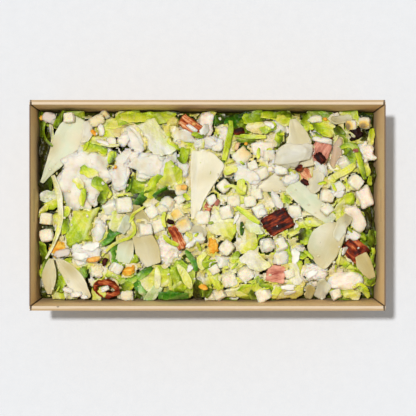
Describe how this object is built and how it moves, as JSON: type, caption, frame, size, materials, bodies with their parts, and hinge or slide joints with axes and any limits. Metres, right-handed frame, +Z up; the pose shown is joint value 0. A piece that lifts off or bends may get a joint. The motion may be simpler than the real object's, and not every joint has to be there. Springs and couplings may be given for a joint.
{
  "type": "chicken caesar salad in a kraft board tray",
  "caption": "Chopped salad with chicken, bacon, parmesan shavings and croutons, heaped in an open folded kraft board tray.",
  "frame": {"origin": "middle of the tray's underside", "axes": "+X along the tray's long side, +Y across it, +Z up out of the tray"},
  "size_m": [0.258, 0.1526, 0.08],
  "materials": {
    "kraft_board": "uncoated brown kraft board with fine fibres, paler along the folded rims",
    "lettuce": "moist chopped cos lettuce, from pale ribs to dark green tips",
    "chicken": "moist cooked chicken breast, torn, with fibres",
    "bacon": "browned bacon, greasy, charred at the edges, with pale fat",
    "parmesan": "waxy hard cheese shavings, slightly translucent at thin edges",
    "crouton": "dry toasted bread cubes with fine pores",
    "egg": "crumbled boiled egg yolk with pieces of white",
    "dressing": "thick creamy dressing in small pools"
  },
  "bodies": {
    "root": {"tray": "kraft_board", "salad_heap": "lettuce", "chicken_01": "chicken", "chicken_02": "chicken", "chicken_03": "chicken", "chicken_04": "chicken", "chicken_05": "chicken", "chicken_06": "chicken", "chicken_07": "chicken", "chicken_08": "chicken", "chicken_09": "chicken", "chicken_10": "chicken", "chicken_11": "chicken", "chicken_12": "chicken", "chicken_13": "chicken", "chicken_14": "chicken", "chicken_15": "chicken", "chicken_16": "chicken", "chicken_17": "chicken", "chicken_18": "chicken", "bacon_01": "bacon", "bacon_02": "bacon", "bacon_03": "bacon", "bacon_04": "bacon", "bacon_05": "bacon", "bacon_06": "bacon", "bacon_07": "bacon", "bacon_08": "bacon", "bacon_09": "bacon", "bacon_10": "bacon", "egg_01": "egg", "egg_02": "egg", "egg_03": "egg", "parmesan_01": "parmesan", "parmesan_02": "parmesan", "parmesan_03": "parmesan", "parmesan_04": "parmesan", "parmesan_05": "parmesan", "parmesan_06": "parmesan", "parmesan_07": "parmesan", "parmesan_08": "parmesan", "parmesan_09": "parmesan", "parmesan_10": "parmesan", "parmesan_11": "parmesan", "crouton_01": "crouton", "crouton_02": "crouton", "crouton_03": "crouton", "crouton_04": "crouton", "crouton_05": "crouton", "crouton_06": "crouton", "crouton_07": "crouton", "crouton_08": "crouton", "crouton_09": "crouton", "crouton_10": "crouton", "crouton_11": "crouton", "crouton_12": "crouton", "crouton_13": "crouton", "crouton_14": "crouton", "crouton_15": "crouton"}
  },
  "joints": []
}
